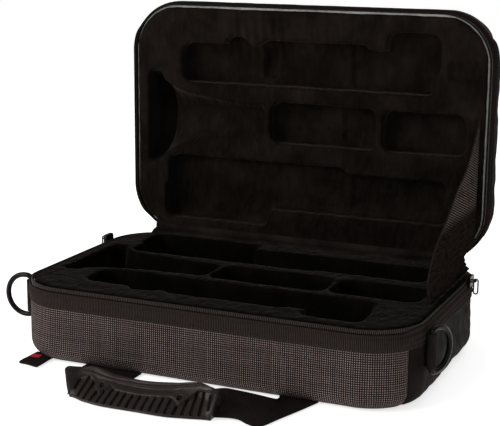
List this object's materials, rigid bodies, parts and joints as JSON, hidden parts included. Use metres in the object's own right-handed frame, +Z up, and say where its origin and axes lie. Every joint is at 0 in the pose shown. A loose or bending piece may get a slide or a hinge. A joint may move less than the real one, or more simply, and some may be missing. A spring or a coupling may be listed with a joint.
{
  "type": "clarinet case",
  "caption": "Soft-covered rigid foam instrument case with a zipped hinged lid, plush beds, stay gusset, carry handle and strap rings.",
  "frame": {"origin": "centre of the flat underside, on the surface the case stands on", "axes": "+X to the right along the case's length, +Y from the front to the hinge, +Z up; the lid stands open at a right angle"},
  "size_m": [0.3857, 0.3255, 0.2805],
  "materials": {
    "woven_check": "matt nylon with a fine light dot in a small check",
    "plain_nylon": "plain close-woven nylon",
    "zipper_tape": "ribbed woven tape",
    "zipper_coil": "satin nylon monofilament",
    "rigid_foam": "expanded foam, never seen",
    "plush": "crushed short pile with a soft sheen",
    "gusset_mesh": "thin plain-woven nylon",
    "webbing": "tight webbing",
    "red_label": "plain red ribbon",
    "black_metal": "black enamel",
    "moulded_grip": "moulded satin rubber"
  },
  "bodies": {
    "base": {"base_front_cover": "woven_check", "base_end_panel_left": "plain_nylon", "base_end_panel_right": "plain_nylon", "base_back_panel": "plain_nylon", "base_bottom_panel": "plain_nylon", "base_zipper_tape": "zipper_tape", "base_zipper_coil": "zipper_coil", "base_zipper_stops": "black_metal", "base_foam_shell": "rigid_foam", "base_liner": "plush", "hinge_tape_base": "zipper_tape", "gusset_right": "gusset_mesh", "gusset_binding": "webbing", "ring_tab_left": "webbing", "ring_tab_right": "webbing", "handle_anchors": "webbing", "corner_tab": "webbing", "corner_tab_patch": "red_label"},
    "lid": {"lid_front_cover": "woven_check", "lid_end_panel_left": "plain_nylon", "lid_end_panel_right": "plain_nylon", "lid_back_panel": "plain_nylon", "lid_top_panel": "woven_check", "lid_zipper_tape": "zipper_tape", "lid_zipper_coil": "zipper_coil", "lid_zipper_stops": "black_metal", "lid_foam_shell": "rigid_foam", "lid_liner": "plush", "hinge_tape_lid": "zipper_tape"},
    "ring_left": {"ring_left": "black_metal"},
    "ring_right": {"ring_right": "black_metal"},
    "slider_left": {"slider_left": "black_metal"},
    "slider_right": {"slider_right": "black_metal"},
    "pull_left": {"pull_left": "black_metal"},
    "pull_right": {"pull_right": "black_metal"},
    "handle": {"handle_webbing": "webbing", "handle_grip": "moulded_grip", "grip_screws": "black_metal"}
  },
  "joints": [
    {"name": "lid_hinge", "type": "hinge", "parent": "base", "child": "lid", "pos_m": [0, 0.108, 0.0645], "axis": [1, 0, 0], "range_deg": [0, 90], "deforming": ["gusset_right", "gusset_binding"]},
    {"name": "ring_left_swing", "type": "hinge", "parent": "base", "child": "ring_left", "pos_m": [-0.1752, -0.067, 0.042], "axis": [0, 0, 1], "range_deg": [-90, 90]},
    {"name": "ring_right_swing", "type": "hinge", "parent": "base", "child": "ring_right", "pos_m": [0.1752, -0.067, 0.042], "axis": [0, 0, 1], "range_deg": [-160, 20]},
    {"name": "slider_left_travel", "type": "slide", "parent": "base", "child": "slider_left", "axis": [0, -1, 0], "range_m": [0, 0.09]},
    {"name": "slider_right_travel", "type": "slide", "parent": "base", "child": "slider_right", "axis": [0, -1, 0], "range_m": [0, 0.09]},
    {"name": "pull_left_swing", "type": "hinge", "parent": "slider_left", "child": "pull_left", "pos_m": [-0.1763, 0.058, 0.0645], "axis": [0, 1, 0], "range_deg": [0, 120]},
    {"name": "pull_right_swing", "type": "hinge", "parent": "slider_right", "child": "pull_right", "pos_m": [0.1763, 0.058, 0.0645], "axis": [0, -1, 0], "range_deg": [0, 120]},
    {"name": "handle_swing", "type": "hinge", "parent": "base", "child": "handle", "pos_m": [0, -0.12, 0.0009], "axis": [-1, 0, 0], "range_deg": [0, 70]}
  ]
}
